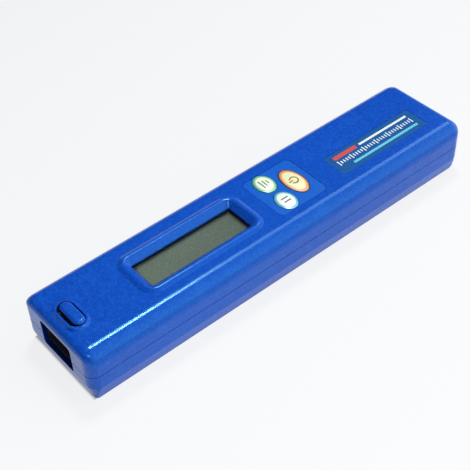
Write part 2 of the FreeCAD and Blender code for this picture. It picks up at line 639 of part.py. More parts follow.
def make_release_yoke():
    """Yoke that straddles the socket; its catch holds the plug from below until it is pressed."""
    head_top = CEILING - FIT_GAP
    head_bottom = head_top - YOKE_THICKNESS
    leg_inside = SOCKET_HALF_WIDTH + YOKE_GAP
    leg_outside = leg_inside + YOKE_LEG_THICKNESS
    x0, x1 = BUTTON_X - YOKE_DEPTH / 2, BUTTON_X + YOKE_DEPTH / 2
    bar_top = yoke_bar_top()
    bar_bottom = bar_top - YOKE_THICKNESS
    head = box(BUTTON_X - YOKE_HEAD_DEPTH / 2, BUTTON_X + YOKE_HEAD_DEPTH / 2, -leg_outside, leg_outside,
               head_bottom, head_top)
    legs = [box(x0, x1, min(s * leg_inside, s * leg_outside), max(s * leg_inside, s * leg_outside),
                bar_bottom, head_bottom) for s in (1, -1)]
    bar = box(x0, x1, -leg_outside, leg_outside, bar_bottom, bar_top)
    well_floor = SOCKET_HEIGHT - PLUG_WELL_HEIGHT / 2
    catch = box(BUTTON_X - CATCH_DEPTH / 2, BUTTON_X + CATCH_DEPTH / 2, -CATCH_WIDTH / 2,
                CATCH_WIDTH / 2, bar_bottom, well_floor + CATCH_RISE)
    return joined(head, bar, catch, *legs)


def make_release_spring():
    """Bowed leaf spring on the floor of the case, which pushes the yoke back up."""
    bar_bottom = yoke_bar_top() - YOKE_THICKNESS
    rise = bar_bottom - WALL - SPRING_THICKNESS - FIT_GAP
    half = SPRING_LENGTH / 2
    x0 = BUTTON_X - SPRING_WIDTH / 2
    low, high = WALL, WALL + SPRING_THICKNESS
    lower = Part.Arc(point(x0, -half, low), point(x0, 0, low + rise), point(x0, half, low)).toShape()
    upper = Part.Arc(point(x0, -half, high), point(x0, 0, high + rise), point(x0, half, high)).toShape()
    ends = [Part.LineSegment(point(x0, y, low), point(x0, y, high)).toShape() for y in (-half, half)]
    outline = Part.Wire(Part.sortEdges([lower, upper, *ends])[0])
    return Part.Face(outline).extrude(point(SPRING_WIDTH, 0, 0))


def pan_screw(x, y, head_bottom, head_height, head_radius, shank_top, shank_radius):
    """Pan-head screw, head down, with a cross slot in its head."""
    head_top = head_bottom + head_height
    head = cylinder(x, y, head_bottom, head_top, head_radius)
    low_edges = [e for e in head.Edges if e.BoundBox.ZMax < head_bottom + EPS]
    head = head.makeChamfer(head_height / 3, low_edges)
    shank = cylinder(x, y, head_top - EPS, shank_top - shank_radius, shank_radius)
    tip = Part.makeCone(shank_radius, shank_radius / 3, shank_radius,
                        point(x, y, shank_top - shank_radius))
    reach, half_slot = 0.55 * head_radius, 0.14 * head_radius
    cross = [box(x - a, x + a, y - b, y + b, head_bottom - 1, head_bottom + head_height / 2)
             for a, b in ((reach, half_slot), (half_slot, reach))]
    return joined(head, shank, tip).cut(cross)


def make_case_screws():
    return Part.Compound([
        pan_screw(x, y, COUNTERBORE_DEPTH - CASE_SCREW_HEAD_HEIGHT, CASE_SCREW_HEAD_HEIGHT,
                  CASE_SCREW_HEAD_RADIUS, SPLIT_HEIGHT + CASE_SCREW_BITE, CASE_SCREW_RADIUS)
        for x, y in case_screw_places()])


def make_board_screws():
    return Part.Compound([
        pan_screw(x, y, SPLIT_HEIGHT - BOARD_SCREW_HEAD_HEIGHT, BOARD_SCREW_HEAD_HEIGHT,
                  BOARD_SCREW_HEAD_RADIUS, BOARD_TOP + BOARD_SCREW_BITE, BOARD_SCREW_RADIUS)
        for x, y in board_screw_places()])


def make_cell(y, nub_to_tail):
    """One dry cell lying along X, its positive nub towards the tail or the nose."""
    start = TUB_START + CONTACT_SPACE
    body = Part.makeCylinder(CELL_RADIUS, CELL_BODY, point(0, 0, 0), point(1, 0, 0))
    body = body.makeChamfer(CELL_EDGE, [e for e in body.Edges if len(e.Vertexes) == 1])
    nub = Part.makeCylinder(CELL_NUB_RADIUS, CELL_NUB + CELL_EDGE,
                            point(CELL_BODY - CELL_EDGE, 0, 0), point(1, 0, 0))
    cell = joined(body, nub)
    if not nub_to_tail:
        cell.rotate(point(CELL_LENGTH / 2, 0, 0), point(0, 0, 1), 180)
    cell.translate(point(start, y, CELL_HEIGHT))
    return cell


def make_battery_cells():
    return Part.Compound([make_cell(CELL_PITCH / 2, True), make_cell(-CELL_PITCH / 2, False)])


def make_nose_contacts():
    """Two sprung contact strips at the tub's front wall, with tails that reach onto the board."""
    strips = []
    for y in (CELL_PITCH / 2, -CELL_PITCH / 2):
        plate = box(TUB_START, TUB_START + STRIP_THICKNESS, y - STRIP_WIDTH / 2, y + STRIP_WIDTH / 2,
                    CELL_HEIGHT - STRIP_WIDTH / 2, TUB_CEILING - FIT_GAP)
        tail = box(BOARD_END - 3, TUB_START + STRIP_THICKNESS, y - TAIL_STRIP_WIDTH / 2,
                   y + TAIL_STRIP_WIDTH / 2, BOARD_TOP, BOARD_TOP + STRIP_THICKNESS)
        strips.append(joined(plate, tail, sprung_tongue(TUB_START + STRIP_THICKNESS, 1, y)))
    return Part.Compound(strips)


def sprung_tongue(x, direction, y):
    """Tongue bent out from a contact plate until it meets the end of a cell."""
    reach = direction * (CONTACT_SPACE - STRIP_THICKNESS)
    half, t = TONGUE_WIDTH / 2, STRIP_THICKNESS
    profile = [(x - direction * t / 2, CELL_HEIGHT + 3), (x + reach - direction * t, CELL_HEIGHT + 1),
               (x + reach - direction * t, CELL_HEIGHT - 1.5), (x + reach, CELL_HEIGHT - 1.5),
               (x + reach, CELL_HEIGHT + 1.2), (x - direction * t / 2, CELL_HEIGHT + 3.6)]
    corners = [point(px, y - half, pz) for px, pz in profile]
    return Part.Face(Part.makePolygon(corners + corners[:1])).extrude(point(0, 2 * half, 0))


def make_tail_contact():
    """One bridge strip at the tub's rear wall, which joins the two cells."""
    x0, x1 = TUB_END - STRIP_THICKNESS, TUB_END
    reach = CELL_PITCH / 2 + STRIP_WIDTH / 2
    plate = box(x0, x1, -reach, reach, CELL_HEIGHT - STRIP_WIDTH / 2, CELL_HEIGHT + STRIP_WIDTH / 2)
    return joined(plate, *[sprung_tongue(x0, -1, y) for y in (CELL_PITCH / 2, -CELL_PITCH / 2)])


def build():
    """Every piece by its name."""
    pieces = {
        "top_case": make_top_case(),
        "bottom_case": make_bottom_case(),
        "battery_door": make_battery_door(),
        "window_lens": make_window_lens(),
        "display_frame": make_display_frame(),
        "display_glass": make_display_glass(),
        "display_reflector": make_display_reflector(),
        "zebra_strips": make_zebra_strips(),
        "main_board": make_main_board(),
        "board_parts": make_board_parts(),
        "key_overlay": make_key_overlay(),
        "name_plate": make_name_plate(),
        "probe_socket": make_probe_socket(),
        "socket_contacts": make_socket_contacts(),
        "release_button": make_release_button(),
        "release_yoke": make_release_yoke(),
        "release_spring": make_release_spring(),
        "case_screws": make_case_screws(),
        "board_screws": make_board_screws(),
        "battery_cells": make_battery_cells(),
        "battery_nose_contacts": make_nose_contacts(),
        "battery_tail_contact": make_tail_contact(),
    }
    for name, (place, size) in key_list().items():
        pieces[name] = make_key(place, size)
        pieces[name.replace("key", "dome")] = make_key_dome(place)
    return pieces


def main():
    os.makedirs("parts", exist_ok=True)
    for name, shape in build().items():
        shape.exportStep(os.path.join("parts", name + ".step"))
        print(name, len(shape.Solids), "solids,", round(shape.Volume, 1), "mm3, valid", shape.isValid())


main()
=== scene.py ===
"""Stick thermometer for thermocouple probes: case edges, materials, printed marks, light and camera."""

import math

import bmesh
import bpy
from mathutils import Matrix, Vector


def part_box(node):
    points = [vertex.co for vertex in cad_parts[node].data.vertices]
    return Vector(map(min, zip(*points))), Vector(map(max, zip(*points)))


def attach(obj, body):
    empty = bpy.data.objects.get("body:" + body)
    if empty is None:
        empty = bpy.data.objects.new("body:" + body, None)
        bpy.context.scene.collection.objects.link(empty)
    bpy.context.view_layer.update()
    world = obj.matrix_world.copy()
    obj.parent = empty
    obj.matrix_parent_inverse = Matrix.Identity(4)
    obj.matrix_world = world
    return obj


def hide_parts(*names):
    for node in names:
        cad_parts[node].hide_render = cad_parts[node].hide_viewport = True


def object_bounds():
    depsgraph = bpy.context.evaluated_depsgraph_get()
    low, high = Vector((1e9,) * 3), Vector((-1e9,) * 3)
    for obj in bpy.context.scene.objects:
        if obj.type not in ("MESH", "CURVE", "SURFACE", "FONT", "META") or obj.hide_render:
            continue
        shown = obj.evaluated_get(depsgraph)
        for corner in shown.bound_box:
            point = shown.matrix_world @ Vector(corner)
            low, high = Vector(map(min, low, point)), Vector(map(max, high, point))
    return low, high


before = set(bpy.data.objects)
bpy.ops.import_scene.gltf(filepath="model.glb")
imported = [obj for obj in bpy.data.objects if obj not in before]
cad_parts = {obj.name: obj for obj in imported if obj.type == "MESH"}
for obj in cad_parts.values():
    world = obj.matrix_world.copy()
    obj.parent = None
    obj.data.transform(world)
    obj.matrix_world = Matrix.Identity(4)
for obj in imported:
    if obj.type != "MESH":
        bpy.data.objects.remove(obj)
cad_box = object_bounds()

MM = 0.001

# Camera, from the photograph's perspective (millimetres and degrees)
CAMERA_TARGET = (-11.84, -0.73, 12.67)
CAMERA_DISTANCE = 358.2
CAMERA_AZIMUTH = -38.35
CAMERA_ELEVATION = 44.23
CAMERA_ROLL = -2.73
CAMERA_LENS = 78.73
SENSOR_WIDTH = 36.0
NEAREST_SEEN = 10.0

# Lamps: place, target and size (metres), and power (watts)
LAMPS = {
    "key": ((0.235, 0.25, 0.88), (0.235, 0.0, 0.0), (0.16, 0.14), 4.9),
    "flash": ((-0.31, -0.25, 0.47), (-0.01, 0.0, 0.01), (0.06, 0.06), 0.45),
    "side": ((0.88, 0.33, 1.05), (0.88, 0.0, 0.0), (0.9, 0.42), 4.0),
}

# Sky: the direction of its palest part, its colours away from and toward that, and the horizon
SKY_TOWARD = (0.64, -0.77, 0.0)
SKY_STOPS = ((0.0, (0.05, 0.05, 0.05)), (0.9, (1.60, 1.90, 1.80)))
HORIZON = (0.80, 0.81, 0.82)
HORIZON_BAND = (0.05, 0.12)

# Floor: its size, its gap below the object, and where its glow falls from near to far (metres)
FLOOR_SIZE = 3.0
FLOOR_DROP = 0.0002
FLOOR_DEPTH = (-0.15, 0.35)
FLOOR_NEAR = 1.0
FLOOR_FAR = 0.83
FLOOR_GLOW = 0.88
FLOOR_WHITE = (0.985, 0.985, 1.0, 1)
FLOOR_PALE = (0.84, 0.87, 0.88)
FLOOR_DULL = (0.82, 0.85, 0.86)
# How far inside the object's outline the glow is gone, and where it starts to go (millimetres); at the
# ends, past the drawn-in foot, its fade is a painted contact shadow
END_SHADOW_FADE = (1.5, 0.3)
SIDE_COVER = (1.6, 1.4)

# Colours, linear
BLUE = (0.004, 0.068, 0.48)
BLUE_WORN = (0.014, 0.115, 0.60)
BLUE_DEEP = (0.003, 0.050, 0.39)
BLUE_GLOSS = (0.28, 0.80, 1.0, 1.0)
# Painted shade for the walls of the opening in the nose
MOUTH_SHADE = (0.002, 0.012, 0.090)
OVERLAY_BLUE = (0.003, 0.100, 0.56)
OVERLAY_DEEP = (0.003, 0.085, 0.50)
PLATE_BLUE = (0.004, 0.080, 0.32)
PLATE_DEEP = (0.003, 0.065, 0.26)
# Painted shade: black for the button's stem, where the gap round the cap is dark
STEM_SHADE = (0.004, 0.005, 0.008)
PLASTIC_BLACK = (0.012, 0.012, 0.014)
CHIP_BLACK = (0.016, 0.016, 0.018)
LENS_CLEAR = (0.96, 0.97, 0.96)
LENS_SMEARED = (0.90, 0.93, 0.91)
LCD_PALE = (0.365, 0.435, 0.360)
LCD_DARK = (0.240, 0.300, 0.245)
# Painted shade for the display glass's edges under its frame
LCD_FRAME_SHADE = (0.016, 0.018, 0.026)
KEY_CREAM = (0.84, 0.80, 0.46)
KEY_WHITE = (0.90, 0.90, 0.76)
KEY_ORANGE = (0.80, 0.22, 0.04)
KEY_BROWN = (0.12, 0.03, 0.02)
KEY_GREEN = (0.10, 0.46, 0.22)
KEY_CYAN = (0.03, 0.36, 0.62)
KEY_WORN = (0.62, 0.62, 0.58)
INK_BROWN = (0.20, 0.06, 0.02)
INK_GREEN = (0.03, 0.22, 0.10)
INK_BLUE = (0.02, 0.12, 0.34)
INK_RED = (0.62, 0.03, 0.03)
INK_WHITE = (0.78, 0.82, 0.84)
INK_CYAN = (0.10, 0.52, 0.66)
STEEL = (0.55, 0.56, 0.57)
SCREW_STEEL = (0.58, 0.59, 0.60)
PLATING = (0.66, 0.64, 0.58)
CONTACT_ALLOY = (0.60, 0.56, 0.48)
FOIL = (0.72, 0.73, 0.73)
ZEBRA_RUBBER = (0.40, 0.20, 0.20)
BOARD_DARK = (0.010, 0.090, 0.030, 1)
BOARD_GREEN = (0.016, 0.120, 0.045, 1)
BOARD_TRACK = (0.030, 0.190, 0.070, 1)
CELL_GREY = (0.42, 0.43, 0.45)
CELL_BAND = (0.05, 0.05, 0.06)
CELL_WORN = (0.25, 0.25, 0.27)

# Where colours change on a piece (millimetres)
# How far in from the nose's face the painted shade on the opening's walls fades in
MOUTH_SHADE_FADE = 0.5
# The opening in the nose: its middle and half size along each axis
MOUTH_SPANS = (("X", -84.1, 1.6), ("Y", 0.0, 8.55), ("Z", 11.3, 5.55))
BUTTON_CAP = 0.8
LCD_HIDDEN = 1.7
LCD_SHADE = 1.9
LCD_SHADE_DEPTH = 0.85
CELL_SPAN = (35.0, 81.0)
TRACKS_PER_METRE = 300.0

# Outer edges of the case, in the CAD solids and in the copies that stand for them (millimetres)
HALF_LENGTH = cad_box[1][0] / MM
HALF_WIDTH = cad_box[1][1] / MM
CASE_TOP = 20.4
CASE_CORNER = 3.8
CAD_EDGE = 2.6
SIDE_EDGE = 5.2
TAIL_EDGE = 3.3
CAD_KEEL_INSET = 1.5
CAD_KEEL_HEIGHT = 4.2
KEEL_INSET = 1.0
KEEL_HEIGHT = 5.0
TUCK_HEIGHT = 5.2
NOSE_TUCK = 1.2
TAIL_TUCK = 3.3
ON_SURFACE = 0.03
WELD = 0.001
# Normals: how near a flat face's own a corner's lies, and the least turn's cosine of a sound face
SAME_NORMAL = 0.01
SLIVER = 0.9

# Signs on the keys (millimetres and degrees)
INK_RISE = 0.02
KEY_CROWN = 0.45
KEY_FLANGE = 0.6
POWER_RING = (1.35, 1.85)
POWER_ARC = (215, 505)
POWER_STROKE = (-2.2, -0.5, -0.25, 0.25)
MODE_BARS = ((-1.3, 2.2), (0.0, 1.6), (1.3, 1.0))
MODE_HALF_LINE = 0.24
HOLD_BARS = (-0.9, 0.9)
HOLD_REACH = 1.5
HOLD_HALF_LINE = 0.3

# Marks on the name plate (millimetres); a row is its colour, its ends as shares, and its two sides
PLATE_MARGIN = 3.0
PLATE_TICK_PITCH = 1.25
PLATE_SHORT_TICK = 1.5
PLATE_LONG_TICK = 2.6
PLATE_LONG_EVERY = 5
PLATE_LINE = 0.5
PLATE_ROWS = {
    "plate_red": (INK_RED, 0.0, 0.3, 2.1, 3.9),
    "plate_white": (INK_WHITE, 0.34, 1.0, 2.5, 3.5),
    "plate_cyan": (INK_CYAN, 0.12, 1.0, -3.6, -2.5),
}


class Nodes:
    """The node tree of a new material or world, with short calls to add and join its nodes."""

    def __init__(self, name, kind="materials", shader="Principled BSDF"):
        self.block = getattr(bpy.data, kind).new(name)
        self.block.use_nodes = True
        self.tree = self.block.node_tree
        self.shader = self.tree.nodes[shader]

    def feed(self, socket, value):
        """A plain value, or another node's output, into a socket."""
        if isinstance(value, bpy.types.NodeSocket):
            self.tree.links.new(value, socket)
        else:
            socket.default_value = value

    def add(self, kind, values=None, **settings):
        node = self.tree.nodes.new("ShaderNode" + kind)
        for key, value in settings.items():
            setattr(node, key, value)
        for key, value in (values or {}).items():
            self.feed(node.inputs[key], value)
        return node

    def set(self, **values):
        """Shader inputs by name, with _ for a space."""
        for key, value in values.items():
            self.feed(self.shader.inputs[key.replace("_", " ")], value)
        return self

    def place(self):
        return self.add("TexCoord").outputs["Object"]

    def axes(self):
        """The outputs X, Y and Z of a point's place."""
        return self.add("SeparateXYZ", {"Vector": self.place()}).outputs

    def noise(self, size_mm, detail=3.0, roughness=0.55):
        """Noise whose lumps are about size_mm across."""
        values = {"Vector": self.place(), "Scale": 1 / (size_mm * MM)}
        values.update({"Detail": detail, "Roughness": roughness})
        return self.add("TexNoise", values).outputs["Fac"]

    def ramp(self, factor, *stops):
        node = self.add("ValToRGB", {"Fac": factor})
        elements = node.color_ramp.elements
        while len(elements) < len(stops):
            elements.new(0.5)
        for element, (position, colour) in zip(elements, stops):
            element.position = position
            element.color = (*colour, 1)
        return node.outputs["Color"]

    def span(self, factor, low, high, start=0.0, end=1.0, curve="LINEAR"):
        """low where factor is start or less, high where it is end or more, and between them a blend."""
        values = {"Value": factor, "From Min": start, "From Max": end, "To Min": low, "To Max": high}
        return self.add("MapRange", values, interpolation_type=curve).outputs["Result"]

    def math(self, operation, first, second=0.0):
        return self.add("Math", {0: first, 1: second}, operation=operation).outputs["Value"]

    def away(self, axis, middle_mm):
        """The distance of an axis output from middle_mm."""
        return self.math("ABSOLUTE", self.math("SUBTRACT", axis, middle_mm * MM))

    def mix(self, factor, first, second):
        node = self.add("Mix", data_type="RGBA")
        for key, value in (("Factor", factor), ("A", first), ("B", second)):
            socket = next(s for s in node.inputs if s.name == key and s.enabled)
            self.feed(socket, (*value, 1) if isinstance(value, tuple) else value)
        return next(s for s in node.outputs if s.enabled)

    def bump(self, height, depth_mm, strength=0.5):
        node = self.add("Bump", {"Height": height, "Distance": depth_mm * MM, "Strength": strength})
        return self.set(Normal=node.outputs["Normal"])

    def ellipse(self, x_mm, y_mm, half_x_mm, half_y_mm):
        """0 at the middle of an upright elliptic cylinder and 1 on its wall."""
        axes = self.axes()
        squares = []
        for axis, middle, half in (("X", x_mm, half_x_mm), ("Y", y_mm, half_y_mm)):
            offset = self.math("SUBTRACT", axes[axis], middle * MM)
            squares.append(self.math("POWER", self.math("DIVIDE", offset, half * MM), 2.0))
        return self.math("SQRT", self.math("ADD", *squares))


def dimmed(colour, share):
    return tuple(share * c for c in colour)


def shell_material(name, grain_mm=0.8, grain_depth=0.05):
    """Moulded blue plastic: fine spark grain, slow colour drift and paler rubbed patches."""
    n = Nodes(name)
    drift = n.mix(n.span(n.noise(38.0, detail=2.0), -0.2, 0.9), BLUE, BLUE_DEEP)
    rubbed = n.ramp(n.noise(9.0, detail=5.0), (0.55, (0, 0, 0)), (0.80, (0.5, 0.5, 0.5)))
    speck = n.ramp(n.noise(0.8, detail=2.0), (0.42, (0, 0, 0)), (0.75, (0.6, 0.6, 0.6)))
    colour = n.mix(speck, n.mix(rubbed, drift, BLUE_WORN), BLUE_WORN)
    n.set(Base_Color=colour, Roughness=n.span(n.noise(1.6, detail=4.0), 0.12, 0.22))
    n.set(IOR=1.48, Specular_Tint=BLUE_GLOSS)
    return n.bump(n.noise(grain_mm, roughness=0.6), grain_depth, strength=0.6)


def repaint(n, share, colour):
    """Another colour over a shell material's blue, by a share that varies over the piece."""
    blue = n.shader.inputs["Base Color"].links[0].from_socket
    return n.set(Base_Color=n.mix(share, blue, colour)).block


def button_material(foot_mm):
    """The shell's blue on the cap of the button, and black on its stem below foot_mm as painted shade for
    the dark gap round the cap.
    """
    n = shell_material("blue_button", grain_mm=0.4, grain_depth=0.012)
    # Painted shade: the stem below the cap is black so the gap round the cap reads dark
    return repaint(n, n.math("LESS_THAN", n.axes()["Z"], foot_mm * MM), STEM_SHADE)


def case_material():
    """The shell's blue, with painted shade on the walls of the opening in the nose."""
    n = shell_material("blue_shell")
    axes = n.axes()
    face = cad_box[0][0]
    # Painted shade: the walls of the nose opening are darkened, fading in from its face
    shade_share = n.span(axes["X"], 0.0, 1.0, face, face + MOUTH_SHADE_FADE * MM, "SMOOTHSTEP")
    for axis, middle, half in MOUTH_SPANS:
        shade_share = n.math("MULTIPLY", shade_share, n.math("LESS_THAN", n.away(axes[axis], middle), half * MM))
    return repaint(n, shade_share, MOUTH_SHADE)


def dark_plastic(name, colour):
    n = Nodes(name)
    n.set(Base_Color=n.mix(n.noise(4.0), colour, dimmed(colour, 1.9)))
    n.set(Roughness=n.span(n.noise(0.9, detail=4.0), 0.42, 0.62))
    return n.bump(n.noise(0.25), 0.015).block


def film_material(name, colour, darker):
    """Printed film: a thin gloss over ink with a faint screen texture."""
    n = Nodes(name)
    n.set(Base_Color=n.mix(n.noise(6.0), colour, darker), Roughness=n.span(n.noise(0.8), 0.22, 0.36))
    n.set(Coat_Weight=0.1, Coat_Roughness=0.15, Specular_Tint=BLUE_GLOSS)
    return n.bump(n.noise(0.22), 0.008).block


def key_material(name, place, half, core, rim, outline):
    """Domed printed key: pale middle, coloured ring and a thin dark outline."""
    n = Nodes(name)
    radius = n.ellipse(*place, *half)
    rings = n.ramp(radius, (0.0, core), (0.72, core), (0.86, rim), (0.93, rim), (0.97, outline))
    worn = n.mix(n.span(n.noise(2.4), 0.0, 0.14), rings, KEY_WORN)
    n.set(Base_Color=worn, Roughness=n.span(n.noise(0.7), 0.22, 0.36))
    n.set(Coat_Weight=0.4, Coat_Roughness=0.12)
    return n.bump(n.noise(0.3), 0.006).block


def metal_material(name, colour, brush_mm=(6.0, 0.15, 0.15), rough=(0.22, 0.42)):
    """Rolled or plated metal, with fine scratches along the sheet."""
    n = Nodes(name)
    stretched = n.add("Mapping", {"Vector": n.place(), "Scale": tuple(1 / (s * MM) for s in brush_mm)})
    values = {"Vector": stretched.outputs["Vector"], "Scale": 1.0, "Detail": 3.0}
    lines = n.add("TexNoise", values).outputs["Fac"]
    n.set(Base_Color=n.mix(lines, colour, dimmed(colour, 0.78)), Metallic=1.0)
    n.set(Roughness=n.span(lines, *rough))
    return n.bump(lines, 0.004).block


def lens_material():
    """Clear acrylic window with faint smears in its gloss."""
    n = Nodes("clear_lens")
    n.set(Base_Color=n.mix(n.noise(14.0), LENS_CLEAR, LENS_SMEARED), IOR=1.49)
    n.set(Roughness=n.span(n.noise(5.0, detail=4.0), 0.01, 0.06), Transmission_Weight=1.0)
    return n.block


def display_material():
    """Blank liquid-crystal glass: grey-green and mottled, with painted shade along its edges under the
    frame around it.
    """
    n = Nodes("display_face")
    mottle = n.mix(n.ramp(n.noise(0.7), (0.3, (0, 0, 0)), (0.7, (1, 1, 1))), LCD_DARK, LCD_PALE)
    clouds = n.mix(n.span(n.noise(16.0), 0.0, 0.4), mottle, dimmed(LCD_DARK, 0.85))
    middle, half, _ = middle_of("window_lens")
    axes = n.axes()
    # Painted shade: darker towards the glass's edges, where the frame overhangs it
    shade = 0.0
    for axis, centre, reach in zip("XY", middle, half):
        edge = (reach - LCD_HIDDEN) * MM
        shade_share = n.span(n.away(axes[axis], centre), 0.0, LCD_SHADE_DEPTH, edge - LCD_SHADE * MM, edge,
                       "SMOOTHSTEP")
        shade = n.math("MAXIMUM", shade_share, shade)
    n.set(Base_Color=n.mix(shade, clouds, LCD_FRAME_SHADE), Roughness=n.span(n.noise(3.0), 0.10, 0.22))
    n.set(Coat_Weight=0.3, Coat_Roughness=0.08)
    return n.bump(n.noise(0.2), 0.003, strength=0.4).block


def board_material():
    """Green laminate with paler tracks."""
    n = Nodes("board_laminate")
    tracks = n.add("TexBrick", {"Vector": n.place(), "Scale": TRACKS_PER_METRE, "Color1": BOARD_DARK,
                                "Color2": BOARD_GREEN, "Mortar": BOARD_TRACK, "Mortar Size": 0.06})
    n.set(Base_Color=tracks.outputs["Color"], Roughness=n.span(n.noise(1.5), 0.30, 0.50))
    return n.bump(n.noise(0.4), 0.01, strength=0.4).block


def cell_material():
    """Dry cell's printed sleeve: grey with a darker band at one end."""
    n = Nodes("cell_jacket")
    along = n.span(n.axes()["X"], 0.0, 1.0, *(x * MM for x in CELL_SPAN))
    band = n.ramp(along, (0.0, CELL_GREY), (0.70, CELL_GREY), (0.72, CELL_BAND))
    n.set(Base_Color=n.mix(n.span(n.noise(3.0), 0.0, 0.3), band, CELL_WORN), Metallic=0.35)
    n.set(Roughness=n.span(n.noise(1.2), 0.22, 0.40))
    return n.bump(n.noise(0.5), 0.006, strength=0.4).block


def rubber_material(name, colour):
    n = Nodes(name)
    n.set(Base_Color=n.mix(n.noise(0.4), colour, dimmed(colour, 0.6)))
    n.set(Roughness=n.span(n.noise(1.0), 0.60, 0.85))
    return n.bump(n.noise(0.3), 0.02).block


def ink_material(name, colour):
    """Screen-printed ink: slightly uneven cover and a dull sheen."""
    n = Nodes(name)
    thin = tuple(0.7 * c + 0.03 for c in colour)
    n.set(Base_Color=n.mix(n.span(n.noise(0.6), 0.0, 0.5), colour, thin))
    n.set(Roughness=n.span(n.noise(0.4), 0.30, 0.50))
    return n.bump(n.noise(0.15), 0.004).block


def dress(node, material):
    """One material all over a CAD node."""
    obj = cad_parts[node]
    obj.data.materials.clear()
    obj.data.materials.append(material)


def middle_of(node):
    """Middle and half size of a node's plan in millimetres, and the height of its top."""
    low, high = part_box(node)
    middle = [(low[i] + high[i]) / 2 / MM for i in (0, 1)]
    half = [(high[i] - low[i]) / 2 / MM for i in (0, 1)]
    return middle, half, high[2] / MM


def dress_nodes():
    """A material for every CAD node but the keys."""
    shell = case_material()
    dark = dark_plastic("black_plastic", PLASTIC_BLACK)
    steel = metal_material("spring_steel", STEEL)
    plated = metal_material("plated_strip", PLATING, brush_mm=(0.15, 4.0, 0.15))
    screw = metal_material("screw_steel", SCREW_STEEL, brush_mm=(0.2, 0.2, 0.2), rough=(0.18, 0.34))
    plain = {
        "top_case": shell,
        "bottom_case": shell,
        "battery_door": shell,
        "release_button": button_material(middle_of("release_button")[2] - BUTTON_CAP),
        "window_lens": lens_material(),
        "display_frame": dark,
        "probe_socket": dark,
        "release_yoke": dark,
        "display_glass": display_material(),
        "display_reflector": metal_material("reflector_foil", FOIL),
        "zebra_strips": rubber_material("zebra_rubber", ZEBRA_RUBBER),
        "main_board": board_material(),
        "board_parts": dark_plastic("chip_resin", CHIP_BLACK),
        "key_overlay": film_material("overlay_film", OVERLAY_BLUE, OVERLAY_DEEP),
        "name_plate": film_material("name_film", PLATE_BLUE, PLATE_DEEP),
        "socket_contacts": metal_material("contact_alloy", CONTACT_ALLOY),
        "release_spring": steel,
        "case_screws": screw,
        "board_screws": screw,
        "battery_cells": cell_material(),
        "battery_nose_contacts": plated,
        "battery_tail_contact": plated,
        "power_dome": steel,
        "mode_dome": steel,
        "hold_dome": steel,
    }
    for node, material in plain.items():
        dress(node, material)


def softer_edge(x, y, z):
    """The new place of a point on the top case's CAD fillet, or None for any other point."""
    along = abs(x) - HALF_LENGTH + CASE_CORNER
    across = abs(y) - HALF_WIDTH + CASE_CORNER
    drop = CASE_TOP - z
    if min(along, across) < -ON_SURFACE or drop > CAD_EDGE + ON_SURFACE:
        return None
    inset = CASE_CORNER - math.hypot(along, across)
    if abs(math.hypot(CAD_EDGE - inset, CAD_EDGE - drop) - CAD_EDGE) > ON_SURFACE:
        return None
    side_gain = SIDE_EDGE / CAD_EDGE - 1
    tail_gain = TAIL_EDGE / CAD_EDGE - 1 if x > 0 else 0.0
    sideways = across ** 2 / (along ** 2 + across ** 2)
    lower = sideways * side_gain + (1 - sideways) * tail_gain
    return x - tail_gain * inset, y - math.copysign(side_gain * inset, y), z - lower * drop


def steeper_keel(x, y, z):
    """The new place of a point on the bottom case's CAD chamfer, or None for any other point."""
    share = z / CAD_KEEL_HEIGHT
    if share > 1 + ON_SURFACE or abs(HALF_WIDTH - CAD_KEEL_INSET * (1 - share) - abs(y)) > ON_SURFACE:
        return None
    share = min(share, 1.0)
    side = HALF_WIDTH - KEEL_INSET * (1 - share)
    if abs(x) > HALF_LENGTH - CASE_CORNER - ON_SURFACE:
        across = side - HALF_WIDTH + CASE_CORNER
        end = HALF_LENGTH - CASE_CORNER + math.sqrt(max(CASE_CORNER ** 2 - across ** 2, 0.0))
        x = math.copysign(end, x)
    return x, math.copysign(side, y), share * KEEL_HEIGHT


def lean_at(x):
    """How far a point at x lies past the start of an end's corners, and its lean for each millimetre."""
    past = max(abs(x) - HALF_LENGTH + CASE_CORNER, 0.0)
    return past, math.copysign(TAIL_TUCK if x > 0 else NOSE_TUCK, x) / CASE_CORNER


def draw_in_ends(mesh):
    """Draws both ends of a low piece in toward the foot, as the keel does along the sides."""
    shading = [number for corner in mesh.corner_normals for number in corner.vector]
    mesh.attributes.new("shading", "FLOAT_VECTOR", "CORNER").data.foreach_set("vector", shading)
    bm = bmesh.new()
    bm.from_mesh(mesh)
    bmesh.ops.remove_doubles(bm, verts=bm.verts, dist=WELD * MM)
    start = (HALF_LENGTH - CASE_CORNER - ON_SURFACE) * MM
    ends = [face for face in bm.faces if all(abs(v.co.x) > start for v in face.verts)]
    around = {part for face in ends for part in (*face.edges, *face.verts)}
    bmesh.ops.bisect_plane(bm, geom=[*ends, *around], plane_co=(0, 0, TUCK_HEIGHT * MM), plane_no=(0, 0, 1))
    layer = bm.loops.layers.float_vector["shading"]
    ceiling = (TUCK_HEIGHT + ON_SURFACE) * MM
    low = [face for face in bm.faces if all(v.co.z < ceiling for v in face.verts)]
    for loop in (loop for face in low for loop in face.loops):
        x, _, z = loop.vert.co / MM
        past, lean = lean_at(x)
        squeeze = 1 - abs(lean) * (1 - z / TUCK_HEIGHT) if past else 1.0
        along, across, up = loop[layer]
        loop[layer] = Vector((along / squeeze, across, up - lean * past / TUCK_HEIGHT / squeeze * along))
    for vert in bm.verts:
        x, _, z = vert.co / MM
        past, lean = lean_at(x)
        vert.co.x -= lean * past * max(1 - z / TUCK_HEIGHT, 0.0) * MM
    bm.to_mesh(mesh)
    bm.free()
    stored = mesh.attributes["shading"]
    normals = [Vector(item.vector).normalized() for item in stored.data]
    mesh.attributes.remove(stored)
    mesh.normals_split_custom_set(normals)


